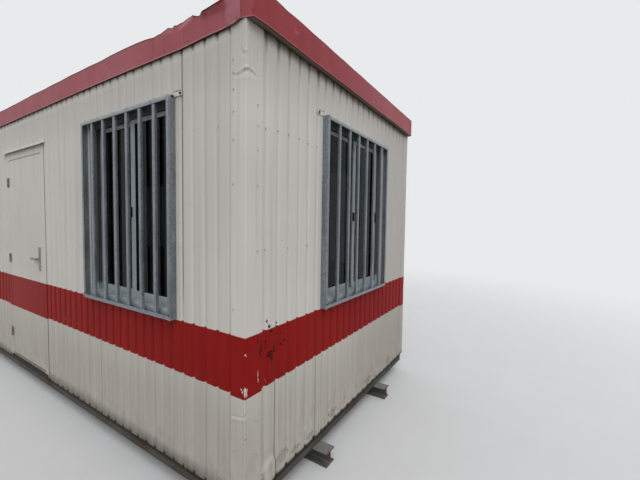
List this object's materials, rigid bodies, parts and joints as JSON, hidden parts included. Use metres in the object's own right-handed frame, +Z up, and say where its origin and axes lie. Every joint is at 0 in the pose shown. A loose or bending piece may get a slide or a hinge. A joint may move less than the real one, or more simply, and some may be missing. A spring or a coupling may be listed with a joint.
{
  "type": "portable site cabin",
  "caption": "Portable site cabin: a steel-clad insulated room on skids, with a red band, red roof trim, barred windows and a side door.",
  "frame": {"origin": "on the ground, midway along the cabin and midway across it", "axes": "+X along the long side towards the pictured end wall, +Y from the front long side to the back, +Z up"},
  "size_m": [6.194, 2.59, 2.8615],
  "materials": {
    "skid_steel": "worn grey paint",
    "frame_steel": "dirty grey paint",
    "floor_board": "worn board",
    "wall_lining": "brown wood-effect board",
    "roof_panel": "brown ceiling board",
    "cladding_paint": "aged cream paint with a red band",
    "flashing_paint": "aged cream paint with a red band",
    "trim_red": "faded red paint",
    "roof_steel": "weathered zinc",
    "window_aluminium": "weathered grey",
    "window_glass": "dusty clear glass",
    "grille_steel": "hot-dip galvanised",
    "door_paint": "aged cream paint with a red band",
    "door_sill": "scuffed",
    "door_fittings": "dull satin"
  },
  "bodies": {
    "root": {"base_frame": "frame_steel", "cladding_back": "cladding_paint", "cladding_front": "cladding_paint", "cladding_left_end": "cladding_paint", "cladding_right_end": "cladding_paint", "corner_flashing_back_left": "flashing_paint", "corner_flashing_back_right": "flashing_paint", "corner_flashing_front_left": "flashing_paint", "corner_flashing_front_right": "flashing_paint", "door_frame": "door_paint", "door_handle": "door_fittings", "door_hinges": "door_fittings", "door_leaf": "door_paint", "door_threshold": "door_sill", "fascia_back": "trim_red", "fascia_front": "trim_red", "fascia_left_end": "trim_red", "fascia_right_end": "trim_red", "floor_deck": "floor_board", "floor_joists": "frame_steel", "ridge_cap": "roof_steel", "roof_core": "roof_panel", "roof_sheets": "roof_steel", "skid_back": "skid_steel", "skid_front": "skid_steel", "wall_panel_back": "wall_lining", "wall_panel_front": "wall_lining", "wall_panel_left_end": "wall_lining", "wall_panel_right_end": "wall_lining", "window_frame_left_end": "window_aluminium", "window_frame_right_end": "window_aluminium", "window_frames_back": "window_aluminium", "window_frames_front": "window_aluminium", "window_grille_left_end": "grille_steel", "window_grille_right_end": "grille_steel", "window_grilles_back": "grille_steel", "window_grilles_front": "grille_steel", "window_pane_pair_left_end": "window_glass", "window_pane_pair_right_end": "window_glass", "window_pane_pairs_back": "window_glass", "window_pane_pairs_front": "window_glass", "window_sash_pair_left_end": "window_aluminium", "window_sash_pair_right_end": "window_aluminium", "window_sash_pairs_back": "window_aluminium", "window_sash_pairs_front": "window_aluminium"}
  },
  "joints": []
}
